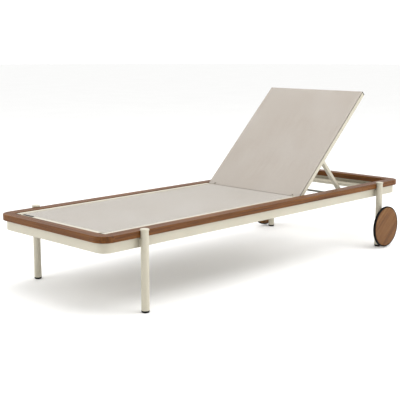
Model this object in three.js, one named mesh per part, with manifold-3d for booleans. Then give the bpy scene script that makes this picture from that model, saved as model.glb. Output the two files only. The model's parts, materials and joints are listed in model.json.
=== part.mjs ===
// Reclining sun lounger: aluminium frame with a timber rail, two mesh slings and a pair of timber wheels.
// Millimetres, +Z up, origin on the floor under the middle. +X is the head end, +Y the right-hand side.
import * as THREE from 'three';
import { mergeVertices } from 'three/addons/utils/BufferGeometryUtils.js';
import Module from 'manifold-3d';

const wasm = await Module();
wasm.setup();

// ---- driving dimensions ----
const LENGTH = 2000; // overall, over the timber rail
const WIDTH = 692; // over the timber rail
const RAIL_TOP = 322;
const RAIL_W = 50;
const RAIL_T = 26;
const CORNER_R = 58; // plan radius of the rail's outer corners
const CORNER_RUN = 60; // length of rail and frame that belongs to the end piece
const BEAM_INSET = 15; // the rail overhangs the metal frame by this
const BEAM_W = 25;
const BEAM_H = 41.7;
const WALL = 2.2;
const GAP = 0.3; // clearance between pieces that touch

const LEG_R = 16;
const LEG_Y = 354;
const LEG_X = { foot: -801, head: 793 };
const LEG_FOOT_Z = 8; // bottom of the metal tube, above its glide
const CAP_R = 18;
const CAP_H = 8;

const AXLE_Z = 107;
const AXLE_R = 6;
const WHEEL_R = 102.6;
const WHEEL_IN_Y = 391;
const WHEEL_OUT_Y = 405;
const TYRE_T = 5;

const SEAT_TOP = 320;
const SEAT_TUBE_W = 40;
const SEAT_TUBE_H = 25.5;
const SEAT_OUT_Y = 293;
const SEAT_LIP = 20; // bare metal beside the sling
const SEAT_FOOT_X = -947;
const SEAT_HEAD_X = 203; // end of the seat's side tubes
const SLING_T = 2;
const SHELF_DROP = 3.8; // the sling's shelf lies this far under the lip

const HINGE = { x: 222.3, z: 307.5 };
const RECLINE = THREE.MathUtils.degToRad(43.76); // backrest angle above flat, as modelled
const RECLINE_MAX = THREE.MathUtils.degToRad(65);
const BACK_LEN = 681.3; // hinge to top end
const BACK_OUT_Y = 293;
const BACK_TUBE_W = 28;
const BACK_D = 25; // over the tube and the sling on its front
const BACK_TOP_TUBE = 24.7;
const BACK_HEM = { s0: 0.5, s1: 8, n0: 5.5, y: 246.4 }; // rolled hem of the backrest's sling, by the hinge

const STRUT_AT = { s: 264, n: -3 }; // strut pivot on the backrest: along it, and off its middle
const STRUT_LEN = 292;
const STRUT_FLAT = THREE.MathUtils.degToRad(5.4); // strut slope when the backrest lies flat
const STRUT_RATIO = 1.953; // strut turn for each turn of the backrest
const ARM_IN_Y = 242;
const ARM_W = 20;
const ARM_R = 8;
const BAR_R = 5.2;
const BAR_END_Y = 297;
const SLEEVE_R = 8.5;

// ---- finishes ----
const finish = (color, roughness, metalness) => () =>
  new THREE.MeshStandardMaterial({ color, roughness, metalness });
const coated = finish(0xd9d5c3, 0.5, 0.1);
const timber = finish(0x946846, 0.6, 0);
const mesh = finish(0xccc5bb, 0.8, 0);
const rubber = finish(0x161514, 0.7, 0);
const darkPlastic = finish(0x3a3937, 0.55, 0);
const steel = finish(0x8c8c8a, 0.35, 0.9);

// ---- solids: joining, cutting and turning outlines into bodies ----
function toSolid(geometry) {
  const bare = geometry.clone();
  bare.deleteAttribute('normal');
  bare.deleteAttribute('uv');
  const merged = mergeVertices(bare, 1e-4);
  const vertProperties = new Float32Array(merged.attributes.position.array);
  const triVerts = new Uint32Array(merged.index.array);
  if (signedVolume(vertProperties, triVerts) < 0) {
    for (let i = 0; i < triVerts.length; i += 3) {
      [triVerts[i], triVerts[i + 1]] = [triVerts[i + 1], triVerts[i]];
    }
  }
  return new wasm.Manifold(new wasm.Mesh({ numProp: 3, vertProperties, triVerts }));
}

function signedVolume(p, t) {
  let sum = 0;
  for (let i = 0; i < t.length; i += 3) {
    const [a, b, c] = [0, 1, 2].map((k) => new THREE.Vector3().fromArray(p, 3 * t[i + k]));
    sum += a.dot(b.cross(c));
  }
  return sum;
}

function toGeometry(solid) {
  const { vertProperties, triVerts } = solid.getMesh();
  const geometry = new THREE.BufferGeometry();
  geometry.setAttribute('position', new THREE.BufferAttribute(new Float32Array(vertProperties), 3));
  geometry.setIndex(new THREE.BufferAttribute(new Uint32Array(triVerts), 1));
  geometry.computeVertexNormals();
  return geometry;
}

const outline = (points) => new THREE.Shape(points.map(([x, y]) => new THREE.Vector2(x, y)));
const extrude = (shape, depth, curveSegments = 8) =>
  new THREE.ExtrudeGeometry(shape, { depth, bevelEnabled: false, curveSegments });

// An outline in plan (x, y), raised from z0 to z1.
const inPlan = (shape, z0, z1, curveSegments) =>
  toSolid(extrude(shape, z1 - z0, curveSegments).translate(0, 0, z0));

// An outline seen from the side (x, z), running across from y0 to y1.
const across = (shape, y0, y1, curveSegments) =>
  toSolid(extrude(shape, y1 - y0, curveSegments).rotateX(Math.PI / 2).translate(0, y1, 0));

// An outline seen from the end (y, z), running lengthwise from x0 to x1.
function lengthwise(shape, x0, x1) {
  const along = new THREE.Matrix4().makeBasis(
    new THREE.Vector3(0, 1, 0),
    new THREE.Vector3(0, 0, 1),
    new THREE.Vector3(1, 0, 0),
  );
  return toSolid(extrude(shape, x1 - x0).applyMatrix4(along).translate(x0, 0, 0));
}

const box = (x0, x1, y0, y1, z0, z1) =>
  toSolid(new THREE.BoxGeometry(x1 - x0, y1 - y0, z1 - z0)
    .translate((x0 + x1) / 2, (y0 + y1) / 2, (z0 + z1) / 2));

// A rod across the lounger, from y0 to y1, on the point (x, z).
const rod = (r, y0, y1, x, z, sides = 20) =>
  toSolid(new THREE.CylinderGeometry(r, r, y1 - y0, sides).translate(x, (y0 + y1) / 2, z));

// A turned piece: [radius, height] pairs from axis to axis, or round a closed loop. Its axis is Z.
const turnedUp = (profile, sides = 24) =>
  toSolid(new THREE.LatheGeometry(profile.map(([r, h]) => new THREE.Vector2(r, h)), sides)
    .rotateX(Math.PI / 2));

// The same, on an axis across the lounger through the point (x, z).
const turnedAcross = (profile, x, z, sides = 24) =>
  toSolid(new THREE.LatheGeometry(profile.map(([r, h]) => new THREE.Vector2(r, h)), sides)
    .translate(x, 0, z));

function withHole(shape, points) {
  shape.holes.push(outline(points));
  return shape;
}

const rectangle = (x0, x1, y0, y1) => [[x0, y0], [x1, y0], [x1, y1], [x0, y1]];
const tubeSection = (x0, x1, y0, y1) =>
  withHole(outline(rectangle(x0, x1, y0, y1)), rectangle(x0 + WALL, x1 - WALL, y0 + WALL, y1 - WALL));

// A tube with a raised lip on its outer side (at u1) and a lower shelf that carries the sling.
function lippedSection(u0, u1, v0, v1, lip, drop) {
  const step = [[u0, v0], [u1, v0], [u1, v1], [u1 - lip, v1], [u1 - lip, v1 - drop], [u0, v1 - drop]];
  return withHole(outline(step), rectangle(u0 + WALL, u1 - WALL, v0 + WALL, v1 - drop - WALL));
}

// ---- adding named pieces ----
const lounger = new THREE.Group();
const backrest = new THREE.Group();
backrest.position.set(HINGE.x, 0, HINGE.z);
backrest.rotation.y = -RECLINE;
lounger.add(backrest);

const strut = new THREE.Group();
strut.position.set(STRUT_AT.s, 0, STRUT_AT.n);
strut.rotation.y = STRUT_FLAT + STRUT_RATIO * RECLINE;
backrest.add(strut);

function add(parent, name, solid, material) {
  const piece = new THREE.Mesh(toGeometry(solid), material());
  piece.name = name;
  parent.add(piece);
}

// A piece of the right-hand side, and its mirror image on the left.
function addPair(parent, name, solid, material) {
  add(parent, `${name}_right`, solid, material);
  add(parent, `${name}_left`, solid.mirror([0, 1, 0]), material);
}

// ---- timber rail: two straight sides, and two ends with rounded corners ----
const HALF_L = LENGTH / 2;
const HALF_W = WIDTH / 2;
const RAIL_BOTTOM = RAIL_TOP - RAIL_T;
const ARC_X = CORNER_R; // centre of the corner arcs, from the outer end
const ARC_Y = HALF_W - CORNER_R;

function railSide() {
  const shape = new THREE.Shape();
  const end = HALF_L - CORNER_RUN - GAP;
  const notchR = LEG_R + 0.4;
  const turn = Math.asin((LEG_Y - HALF_W) / notchR);
  shape.moveTo(-end, HALF_W - RAIL_W);
  shape.lineTo(end, HALF_W - RAIL_W);
  shape.lineTo(end, HALF_W);
  for (const x of [LEG_X.head, LEG_X.foot]) {
    shape.lineTo(x + notchR * Math.cos(turn), HALF_W);
    shape.absarc(x, LEG_Y, notchR, -turn, Math.PI + turn, true);
  }
  shape.lineTo(-end, HALF_W);
  return inPlan(shape, RAIL_BOTTOM, RAIL_TOP, 10);
}

// The U-shaped plan of an end piece, `inset` in from the rail's outer edge and `width` wide.
function endPlan(inset, width, run) {
  const shape = new THREE.Shape();
  const outer = CORNER_R - inset;
  const inner = outer - width;
  shape.moveTo(run, -ARC_Y - outer);
  shape.lineTo(ARC_X, -ARC_Y - outer);
  shape.absarc(ARC_X, -ARC_Y, outer, -Math.PI / 2, -Math.PI, true);
  shape.absarc(ARC_X, ARC_Y, outer, Math.PI, Math.PI / 2, true);
  shape.lineTo(run, ARC_Y + outer);
  shape.lineTo(run, ARC_Y + inner);
  shape.lineTo(ARC_X, ARC_Y + inner);
  shape.absarc(ARC_X, ARC_Y, inner, Math.PI / 2, Math.PI, false);
  shape.absarc(ARC_X, -ARC_Y, inner, Math.PI, Math.PI * 1.5, false);
  shape.lineTo(run, -ARC_Y - inner);
  return shape;
}

function addEnds(name, solid, material) {
  const foot = solid.translate([-HALF_L, 0, 0]);
  add(lounger, `${name}_foot`, foot, material);
  add(lounger, `${name}_head`, foot.mirror([1, 0, 0]), material);
}

addPair(lounger, 'rail_side', railSide(), timber);
addEnds('rail_end', inPlan(endPlan(0, RAIL_W, CORNER_RUN), RAIL_BOTTOM, RAIL_TOP, 10), timber);

// ---- aluminium frame under the rail: straight side tubes and bent end tubes ----
const BEAM_TOP = RAIL_BOTTOM - GAP;
const BEAM_BOTTOM = BEAM_TOP - BEAM_H;
const BEAM_OUT_Y = HALF_W - BEAM_INSET;
const BEAM_IN_Y = BEAM_OUT_Y - BEAM_W;
const BEAM_IN_X = HALF_L - BEAM_INSET - BEAM_W;

function beamEnd() {
  const outside = inPlan(endPlan(BEAM_INSET, BEAM_W, CORNER_RUN), BEAM_BOTTOM, BEAM_TOP, 10);
  const hollow = endPlan(BEAM_INSET + WALL, BEAM_W - 2 * WALL, CORNER_RUN + 1);
  return outside.subtract(inPlan(hollow, BEAM_BOTTOM + WALL, BEAM_TOP - WALL, 10));
}

const beamSection = tubeSection(BEAM_IN_Y, BEAM_OUT_Y, BEAM_BOTTOM, BEAM_TOP);
const beamEndX = HALF_L - CORNER_RUN - GAP;
addPair(lounger, 'beam_side', lengthwise(beamSection, -beamEndX, beamEndX), coated);
addEnds('beam_end', beamEnd(), coated);

// ---- cross members that carry the seat, and the ledge at the head end ----
const CROSS = { width: 30, height: 30, foot: -880, middle: -330, hinge: 150 };
const CROSS_TOP = SEAT_TOP - SEAT_TUBE_H - GAP;
const crossY = BEAM_IN_Y - GAP;

for (const place of ['foot', 'middle', 'hinge']) {
  const x0 = CROSS[place] - CROSS.width / 2;
  const section = tubeSection(x0, x0 + CROSS.width, CROSS_TOP - CROSS.height, CROSS_TOP);
  add(lounger, `cross_member_${place}`, across(section, -crossY, crossY), coated);
}

const LEDGE = { x0: 895, x1: BEAM_IN_X - GAP, top: 279, height: 15.5 };
const ledgeSection = tubeSection(LEDGE.x0, LEDGE.x1, LEDGE.top - LEDGE.height, LEDGE.top);
add(lounger, 'head_ledge', across(ledgeSection, -ARC_Y, ARC_Y), coated);

// Rubber buffers on the ledge, under the top of the flat backrest.
const BUFFER = { r: 7, x: 903, y: 200, clear: 0.6 };
const bufferTop = HINGE.z - BACK_D / 2 - BUFFER.clear;
const buffer = turnedUp([[0, LEDGE.top + GAP], [BUFFER.r, LEDGE.top + GAP], [BUFFER.r, bufferTop - 2],
  [BUFFER.r - 2, bufferTop], [0, bufferTop]], 16).translate([BUFFER.x, BUFFER.y, 0]);
addPair(lounger, 'ledge_buffer', buffer, rubber);

// ---- legs: round tubes with a domed cap and a flat boss against the frame ----
const LEG_TOP = RAIL_TOP + 0.4;
const LEG_BORE_R = LEG_R - 2.5;

function leg(x, hasAxle) {
  const cap = [[CAP_R, LEG_TOP], [CAP_R, LEG_TOP + CAP_H * 0.5], [CAP_R * 0.72, LEG_TOP + CAP_H * 0.88]];
  const tube = turnedUp([[0, LEG_FOOT_Z], [LEG_R, LEG_FOOT_Z], [LEG_R, LEG_TOP], ...cap,
    [0, LEG_TOP + CAP_H]]).translate([x, LEG_Y, 0]);
  const boss = box(x - 11, x + 11, BEAM_OUT_Y + GAP, LEG_Y, BEAM_BOTTOM + 6, BEAM_TOP - 6);
  const bore = turnedUp([[0, 0], [LEG_BORE_R, 0], [LEG_BORE_R, LEG_TOP - 3], [0, LEG_TOP - 3]]);
  const hollow = tube.add(boss).subtract(bore.translate([x, LEG_Y, 0]));
  return hasAxle ? hollow.subtract(rod(AXLE_R + GAP, LEG_Y - 30, LEG_Y + 30, x, AXLE_Z)) : hollow;
}

function glide(x) {
  const spigot = LEG_BORE_R - GAP;
  return turnedUp([[0, 0], [13, 0], [16, 2.5], [16.4, 5], [16.2, LEG_FOOT_Z - GAP], [spigot, LEG_FOOT_Z - GAP],
    [spigot, 24], [0, 24]], 24).translate([x, LEG_Y, 0]);
}

for (const end of ['foot', 'head']) {
  addPair(lounger, `leg_${end}`, leg(LEG_X[end], end === 'head'), coated);
  addPair(lounger, `glide_${end}`, glide(LEG_X[end]), rubber);
}

// ---- wheels: timber disc, thin tyre and flanged hub on a bolt through the leg ----
const DISC_R = WHEEL_R - TYRE_T;
const HUB_BORE = AXLE_R + 0.4;
const HUB_IN_Y = LEG_Y + LEG_R + 1;
const BOLT_END_Y = WHEEL_IN_Y + 5.8;
const BORE_END_Y = WHEEL_IN_Y + 6.4;

const wheelDisc = turnedAcross([[0, BORE_END_Y], [12, BORE_END_Y], [12, WHEEL_IN_Y], [DISC_R - 1.5, WHEEL_IN_Y],
  [DISC_R - GAP, WHEEL_IN_Y + 1.5], [DISC_R - GAP, WHEEL_OUT_Y - 1.5], [DISC_R - 1.8, WHEEL_OUT_Y],
  [0, WHEEL_OUT_Y]], LEG_X.head, AXLE_Z, 48);
const tyre = turnedAcross([[DISC_R, WHEEL_IN_Y + 0.6], [WHEEL_R - 1.2, WHEEL_IN_Y + 0.6],
  [WHEEL_R, WHEEL_IN_Y + 2], [WHEEL_R, WHEEL_OUT_Y - 2], [WHEEL_R - 1.2, WHEEL_OUT_Y - 0.6],
  [DISC_R, WHEEL_OUT_Y - 0.6], [DISC_R, WHEEL_IN_Y + 0.6]], LEG_X.head, AXLE_Z, 48);
const hub = turnedAcross([[HUB_BORE, HUB_IN_Y], [14, HUB_IN_Y], [14, WHEEL_IN_Y - 5], [30, WHEEL_IN_Y - 5],
  [30, WHEEL_IN_Y - GAP], [11.7, WHEEL_IN_Y - GAP], [11.7, BORE_END_Y - GAP], [HUB_BORE, BORE_END_Y - GAP],
  [HUB_BORE, HUB_IN_Y]], LEG_X.head, AXLE_Z, 28);
const boltHead = rod(8, LEG_Y - LEG_R - 6, LEG_Y - LEG_R - GAP, LEG_X.head, AXLE_Z, 6);
const bolt = boltHead.add(rod(AXLE_R, LEG_Y - LEG_R - 2, BOLT_END_Y, LEG_X.head, AXLE_Z));

addPair(lounger, 'wheel_disc', wheelDisc, timber);
addPair(lounger, 'wheel_tyre', tyre, rubber);
addPair(lounger, 'wheel_hub', hub, darkPlastic);
addPair(lounger, 'axle_bolt', bolt, steel);

// ---- seat: lipped tubes round three sides, a plain tube by the hinge, and the sling ----
const SEAT_IN_Y = SEAT_OUT_Y - SEAT_TUBE_W;
const SEAT_BOTTOM = SEAT_TOP - SEAT_TUBE_H;
const SEAT_CAP_T = 5;
const SEAT_SHELF = SEAT_TOP - SHELF_DROP;
const seatY = SEAT_IN_Y - GAP;
const SEAT_SLING_END_X = 212;

const seatSection = lippedSection(SEAT_IN_Y, SEAT_OUT_Y, SEAT_BOTTOM, SEAT_TOP, SEAT_LIP, SHELF_DROP);
addPair(lounger, 'seat_tube', lengthwise(seatSection, SEAT_FOOT_X + SEAT_CAP_T + GAP, SEAT_HEAD_X), coated);

// The foot tube is the side tube's section turned to face the foot end.
const footSection = lippedSection(-SEAT_FOOT_X - SEAT_TUBE_W, -SEAT_FOOT_X, SEAT_BOTTOM, SEAT_TOP, SEAT_LIP,
  SHELF_DROP);
add(lounger, 'seat_tube_foot', across(footSection, -seatY, seatY).mirror([1, 0, 0]), coated);

const headSection = tubeSection(SEAT_HEAD_X - 25, SEAT_HEAD_X + 5, SEAT_BOTTOM, SEAT_SHELF);
add(lounger, 'seat_tube_head', across(headSection, -seatY + 6, seatY - 6), coated);

const seatCap = box(SEAT_FOOT_X, SEAT_FOOT_X + SEAT_CAP_T, SEAT_IN_Y, SEAT_OUT_Y, SEAT_BOTTOM, SEAT_TOP);
addPair(lounger, 'seat_end_cap', seatCap, darkPlastic);

const slingY = SEAT_OUT_Y - SEAT_LIP - 0.5;
const seatSling = box(SEAT_FOOT_X + SEAT_LIP + 0.5, SEAT_SLING_END_X, -slingY, slingY, SEAT_SHELF + GAP,
  SEAT_SHELF + GAP + SLING_T);
add(lounger, 'seat_sling', seatSling, mesh);

// A small blank plate on the foot tube.
const PLATE = { y0: 177, y1: 247, width: 11, t: 1.2 };
const plateX = SEAT_FOOT_X + SEAT_LIP / 2;
const plate = box(plateX - PLATE.width / 2, plateX + PLATE.width / 2, PLATE.y0, PLATE.y1, SEAT_TOP + GAP,
  SEAT_TOP + GAP + PLATE.t);
add(lounger, 'blank_plate', plate, darkPlastic);

// ---- hinge: plates on the seat tubes and shoulder pins for the backrest ----
const HINGE_PLATE = { x0: 150, t: 5.7, r: 11, holeR: 5.3 };
const PIN_R = 5;
const BACK_IN_Y = BACK_OUT_Y - BACK_TUBE_W;

function hingePlate() {
  const shape = new THREE.Shape();
  shape.moveTo(HINGE_PLATE.x0, SEAT_BOTTOM + 3);
  shape.lineTo(HINGE.x, HINGE.z - HINGE_PLATE.r);
  shape.absarc(HINGE.x, HINGE.z, HINGE_PLATE.r, -Math.PI / 2, Math.PI / 2, false);
  shape.lineTo(SEAT_SLING_END_X - 1, SEAT_SHELF - 0.8);
  shape.lineTo(HINGE_PLATE.x0, SEAT_SHELF - 0.8);
  const plate = across(shape, seatY - HINGE_PLATE.t, seatY, 8);
  return plate.subtract(rod(HINGE_PLATE.holeR, seatY - 10, seatY + 10, HINGE.x, HINGE.z, 16));
}

const shoulder = rod(8, SEAT_IN_Y, BACK_IN_Y - GAP, HINGE.x, HINGE.z, 16);
const pin = shoulder.add(rod(PIN_R, seatY - HINGE_PLATE.t - 2, BACK_OUT_Y - 7, HINGE.x, HINGE.z, 16));
addPair(lounger, 'hinge_plate', hingePlate(), coated);
addPair(lounger, 'hinge_pin', pin, steel);

// ---- backrest, drawn flat about its hinge and turned with its group ----
const BACK_CAP_T = 5;
const backHalf = BACK_D / 2;
const backFront = backHalf - SLING_T - GAP; // the tubes' front face, under the sling
const backTubeEnd = BACK_LEN - BACK_CAP_T - GAP;
const LOW_TUBE = { s0: 13.5, s1: 33.5 };
const STRUT_PIN_R = 4;

function backTube() {
  const section = tubeSection(BACK_IN_Y, BACK_OUT_Y, -backHalf, backFront);
  const end = new THREE.Shape();
  const turn = Math.asin(backFront / backHalf);
  end.absarc(0, 0, backHalf, Math.PI - turn, Math.PI * 1.5, false);
  end.lineTo(12, -backHalf);
  end.lineTo(12, backFront);
  return lengthwise(section, 12, backTubeEnd)
    .add(across(end, BACK_IN_Y, BACK_OUT_Y, 8))
    .subtract(rod(PIN_R + GAP, BACK_IN_Y - 1, BACK_OUT_Y - 5, 0, 0, 16))
    .subtract(rod(STRUT_PIN_R + GAP, BACK_IN_Y - 1, BACK_IN_Y + WALL + 1, STRUT_AT.s, STRUT_AT.n, 12));
}

const backY = BACK_IN_Y - GAP;
addPair(backrest, 'back_tube', backTube(), coated);

const lowSection = tubeSection(LOW_TUBE.s0, LOW_TUBE.s1, -backHalf, backFront);
add(backrest, 'back_tube_low', across(lowSection, -backY, backY), coated);

const topTubeEnd = BACK_LEN - SLING_T - GAP;
const topSection = tubeSection(topTubeEnd - BACK_TOP_TUBE, topTubeEnd, -backHalf, backFront);
add(backrest, 'back_tube_top', across(topSection, -backY, backY), coated);

const backCap = box(BACK_LEN - BACK_CAP_T, BACK_LEN, BACK_IN_Y, BACK_OUT_Y, -backHalf, backFront);
addPair(backrest, 'back_end_cap', backCap, darkPlastic);

// The sling covers the whole front. It folds over the top tube, and ends in a rolled hem by the hinge.
const slingUnder = backFront + GAP;
const fold = box(topTubeEnd + GAP, BACK_LEN, -backY + 0.3, backY - 0.3, 4 - backHalf, backHalf);
const hem = box(BACK_HEM.s0, 12, -BACK_HEM.y, BACK_HEM.y, slingUnder, backHalf)
  .add(box(BACK_HEM.s0, BACK_HEM.s1, -BACK_HEM.y, BACK_HEM.y, BACK_HEM.n0, backHalf));
const backSling = box(11.5, BACK_LEN, GAP - BACK_OUT_Y, BACK_OUT_Y - GAP, slingUnder, backHalf);
add(backrest, 'back_sling', backSling.add(fold).add(hem), mesh);

// ---- strut: two arms and a foot bar with plastic sleeves ----
const armEndY = ARM_IN_Y + ARM_W;
const strutPin = rod(7, armEndY + GAP, BACK_IN_Y - GAP, STRUT_AT.s, STRUT_AT.n, 12)
  .add(rod(STRUT_PIN_R, ARM_IN_Y - 2, BACK_IN_Y + 7, STRUT_AT.s, STRUT_AT.n, 12));
addPair(backrest, 'strut_pin', strutPin, steel);

function strutArm() {
  const shape = new THREE.Shape();
  shape.absarc(0, 0, ARM_R, Math.PI / 2, Math.PI * 1.5, false);
  shape.absarc(STRUT_LEN, 0, ARM_R, -Math.PI / 2, Math.PI / 2, false);
  return across(shape, ARM_IN_Y, armEndY, 8)
    .subtract(rod(STRUT_PIN_R + GAP, ARM_IN_Y - 1, armEndY + 1, 0, 0, 12))
    .subtract(rod(BAR_R + GAP, ARM_IN_Y - 1, armEndY + 1, STRUT_LEN, 0, 16));
}

const sleeve = turnedAcross([[BAR_R + GAP, BAR_END_Y - 15], [SLEEVE_R, BAR_END_Y - 15], [SLEEVE_R, BAR_END_Y],
  [BAR_R + GAP, BAR_END_Y], [BAR_R + GAP, BAR_END_Y - 15]], STRUT_LEN, 0, 20);
addPair(strut, 'strut_arm', strutArm(), coated);
add(strut, 'strut_foot_bar', rod(BAR_R, -BAR_END_Y, BAR_END_Y, STRUT_LEN, 0, 16), coated);
addPair(strut, 'strut_sleeve', sleeve, darkPlastic);

// ---- racks inside the side tubes: a notch under each stopping place of the foot bar ----
const RACK = { x0: 428, x1: 800, width: 21, notchR: 9, notchDrop: 4.5, clear: 0.6 };
const STOPS = [12, 20, 28, 36, 43.76, 51, 58, 65].map(THREE.MathUtils.degToRad);

// Where the foot bar is when the backrest stands at `angle` above flat.
function footBarAt(angle) {
  const slope = STRUT_FLAT + STRUT_RATIO * angle - angle;
  const pivotX = HINGE.x + STRUT_AT.s * Math.cos(angle) - STRUT_AT.n * Math.sin(angle);
  const pivotZ = HINGE.z + STRUT_AT.s * Math.sin(angle) + STRUT_AT.n * Math.cos(angle);
  return { x: pivotX + STRUT_LEN * Math.cos(slope), z: pivotZ - STRUT_LEN * Math.sin(slope) };
}

function rack() {
  let lowest = Infinity;
  for (let step = 0; step <= 40; step += 1) {
    lowest = Math.min(lowest, footBarAt((RECLINE_MAX * step) / 40).z);
  }
  const crest = lowest - SLEEVE_R - RACK.clear;
  const shape = new THREE.Shape();
  shape.moveTo(RACK.x0, BEAM_BOTTOM);
  shape.lineTo(RACK.x1, BEAM_BOTTOM);
  shape.lineTo(RACK.x1, crest);
  for (const angle of STOPS) {
    const bar = footBarAt(angle);
    const centreZ = bar.z - RACK.notchDrop;
    const edge = Math.asin((centreZ - crest) / RACK.notchR);
    shape.lineTo(bar.x + RACK.notchR * Math.cos(edge), crest);
    shape.absarc(bar.x, centreZ, RACK.notchR, -edge, Math.PI + edge, true);
  }
  shape.lineTo(RACK.x0, crest);
  return across(shape, BEAM_IN_Y - GAP - RACK.width, BEAM_IN_Y - GAP, 5);
}

addPair(lounger, 'rack', rack(), darkPlastic);

export default lounger;
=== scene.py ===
import json
import math

import bmesh
import bpy
from mathutils import Matrix, Vector


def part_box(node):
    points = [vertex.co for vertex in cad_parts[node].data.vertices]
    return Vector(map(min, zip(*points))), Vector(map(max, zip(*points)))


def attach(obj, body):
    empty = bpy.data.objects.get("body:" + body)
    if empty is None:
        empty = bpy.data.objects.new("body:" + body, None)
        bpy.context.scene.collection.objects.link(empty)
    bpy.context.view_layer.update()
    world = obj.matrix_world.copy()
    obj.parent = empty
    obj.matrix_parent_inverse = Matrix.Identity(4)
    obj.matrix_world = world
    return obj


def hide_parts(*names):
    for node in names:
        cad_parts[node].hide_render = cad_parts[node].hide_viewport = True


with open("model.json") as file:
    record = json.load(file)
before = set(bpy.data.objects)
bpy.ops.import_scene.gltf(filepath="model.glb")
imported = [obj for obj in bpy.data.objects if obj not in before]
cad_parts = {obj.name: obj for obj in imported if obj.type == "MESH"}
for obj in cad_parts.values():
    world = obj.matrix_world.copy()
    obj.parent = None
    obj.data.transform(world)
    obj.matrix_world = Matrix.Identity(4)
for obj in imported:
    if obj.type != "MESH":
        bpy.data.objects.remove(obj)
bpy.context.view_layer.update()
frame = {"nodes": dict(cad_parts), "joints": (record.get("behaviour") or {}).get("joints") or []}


# Frame tubes. Two straight sides and two bent ends of rectangular aluminium tube, welded into one ring
# and powder coated a warm off-white. Everything else on the lounger is fixed to them.

def rounded(corners, radius, steps=4, closed=True):
    """The outline with each corner rounded off; an open line keeps its two ends."""
    points = []
    last = len(corners) - 1
    for i, corner in enumerate(corners):
        if not closed and i in (0, last):
            points.append(tuple(corner))
            continue
        here = Vector(corner)
        before = Vector(corners[i - 1]) - here
        after = Vector(corners[(i + 1) % len(corners)]) - here
        reach = min(radius, before.length * 0.45, after.length * 0.45)
        start = here + before.normalized() * reach
        end = here + after.normalized() * reach
        for k in range(steps + 1):
            t = k / steps
            points.append(tuple(start * (1 - t) ** 2 + here * (2 * t * (1 - t)) + end * t ** 2))
    return points


def rectangle(u0, u1, v0, v1):
    """Four corners, in order round the outline."""
    return [(u0, v0), (u1, v0), (u1, v1), (u0, v1)]


def skin(bm, rings, ends=True):
    """Faces from each ring of points to the next, and over both ends. A ring of one point makes a tip."""
    for near, far in zip(rings, rings[1:]):
        for k in range(max(len(near), len(far))):
            corners = [ring[i % len(ring)] for ring, i in ((near, k - 1), (near, k), (far, k), (far, k - 1))]
            corners = list(dict.fromkeys(corners))
            if len(corners) > 2:
                bm.faces.new(corners)
    if ends:
        bm.faces.new(rings[0])
        bm.faces.new(rings[-1])


def swept(section, stations):
    """A closed (across, up) section carried through stations of (point, across direction)."""
    bm = bmesh.new()
    rings = []
    for point, across in stations:
        ring = [point + across * u + Vector((0, 0, v)) for u, v in section]
        rings.append([bm.verts.new(p) for p in ring])
    skin(bm, rings)
    return bm


def lengthwise(section, x0, x1):
    """A (y, z) section run from x0 to x1."""
    return swept(section, [(Vector((x0, 0, 0)), Vector((0, 1, 0))), (Vector((x1, 0, 0)), Vector((0, 1, 0)))])


def bent_end(section, toward, run, reach, half, radius, steps=14):
    """The section carried along the outer face from one side, round both corners, to the other side."""
    turn = [(half - radius, math.radians(90 * k / steps)) for k in range(steps + 1)]
    turn = [(-y, a - math.pi / 2) for y, a in turn] + turn
    stations = [(Vector((toward * run, -half, 0)), Vector((0, -1, 0)))]
    for centre_y, angle in turn:
        across = Vector((toward * math.cos(angle), math.sin(angle), 0))
        stations.append((Vector((toward * (reach - radius), centre_y, 0)) + across * radius, across))
    stations.append((Vector((toward * run, half, 0)), Vector((0, 1, 0))))
    return swept(section, stations)


def piece(name, bm, material, body="frame", nodes=(), place=None, crease=38):
    """A finished piece: it rides on its body, and stands for its CAD nodes."""
    bmesh.ops.recalc_face_normals(bm, faces=bm.faces)
    mesh = bpy.data.meshes.new(name)
    bm.to_mesh(mesh)
    bm.free()
    mesh.materials.append(material)
    mesh.shade_smooth()
    mesh.set_sharp_from_angle(angle=math.radians(crease))
    made = bpy.data.objects.new(name, mesh)
    bpy.context.scene.collection.objects.link(made)
    if place is not None:
        made.matrix_world = place
    made.modifiers.new("even shading", "WEIGHTED_NORMAL").keep_sharp = True
    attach(made, body)
    if nodes:
        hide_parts(*nodes)
    return made


def tint(code):
    """A colour-card code, RRGGBB, as the shader wants it."""
    parts = [int(code[i:i + 2], 16) / 255 for i in (0, 2, 4)]
    return (*[p / 12.92 if p <= 0.04045 else ((p + 0.055) / 1.055) ** 2.4 for p in parts], 1.0)


def finish(name, **sockets):
    """A new material, with fixed values on its surface shader."""
    material = bpy.data.materials.new(name)
    material.use_nodes = True
    surface = material.node_tree.nodes["Principled BSDF"]
    for socket, value in sockets.items():
        surface.inputs[socket.replace("_", " ")].default_value = value
    return material


def wire(material, kind, inputs, **settings):
    """Adds a shader node. Each input is a value, or another node's output. Gives back its first output."""
    node = material.node_tree.nodes.new("ShaderNode" + kind)
    for setting, value in settings.items():
        setattr(node, setting, value)
    for socket, value in inputs.items():
        if isinstance(value, bpy.types.NodeSocket):
            material.node_tree.links.new(value, node.inputs[socket])
        else:
            node.inputs[socket].default_value = value
    return node.outputs[0]


def feed(material, **sockets):
    """Joins node outputs to the material's surface shader."""
    surface = material.node_tree.nodes["Principled BSDF"]
    for socket, output in sockets.items():
        material.node_tree.links.new(output, surface.inputs[socket.replace("_", " ")])


def blank(material, scale=(1, 1, 1), turn=(0, 0, 0), shift=(0, 0, 0)):
    """The piece's own coordinates in metres, turned, then stretched for a pattern."""
    node = material.node_tree.nodes.new("ShaderNodeTexCoord")
    turned_to = wire(material, "Mapping", {0: node.outputs["Object"], 2: turn})
    return wire(material, "Mapping", {0: turned_to, 1: shift, 3: scale})


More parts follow.
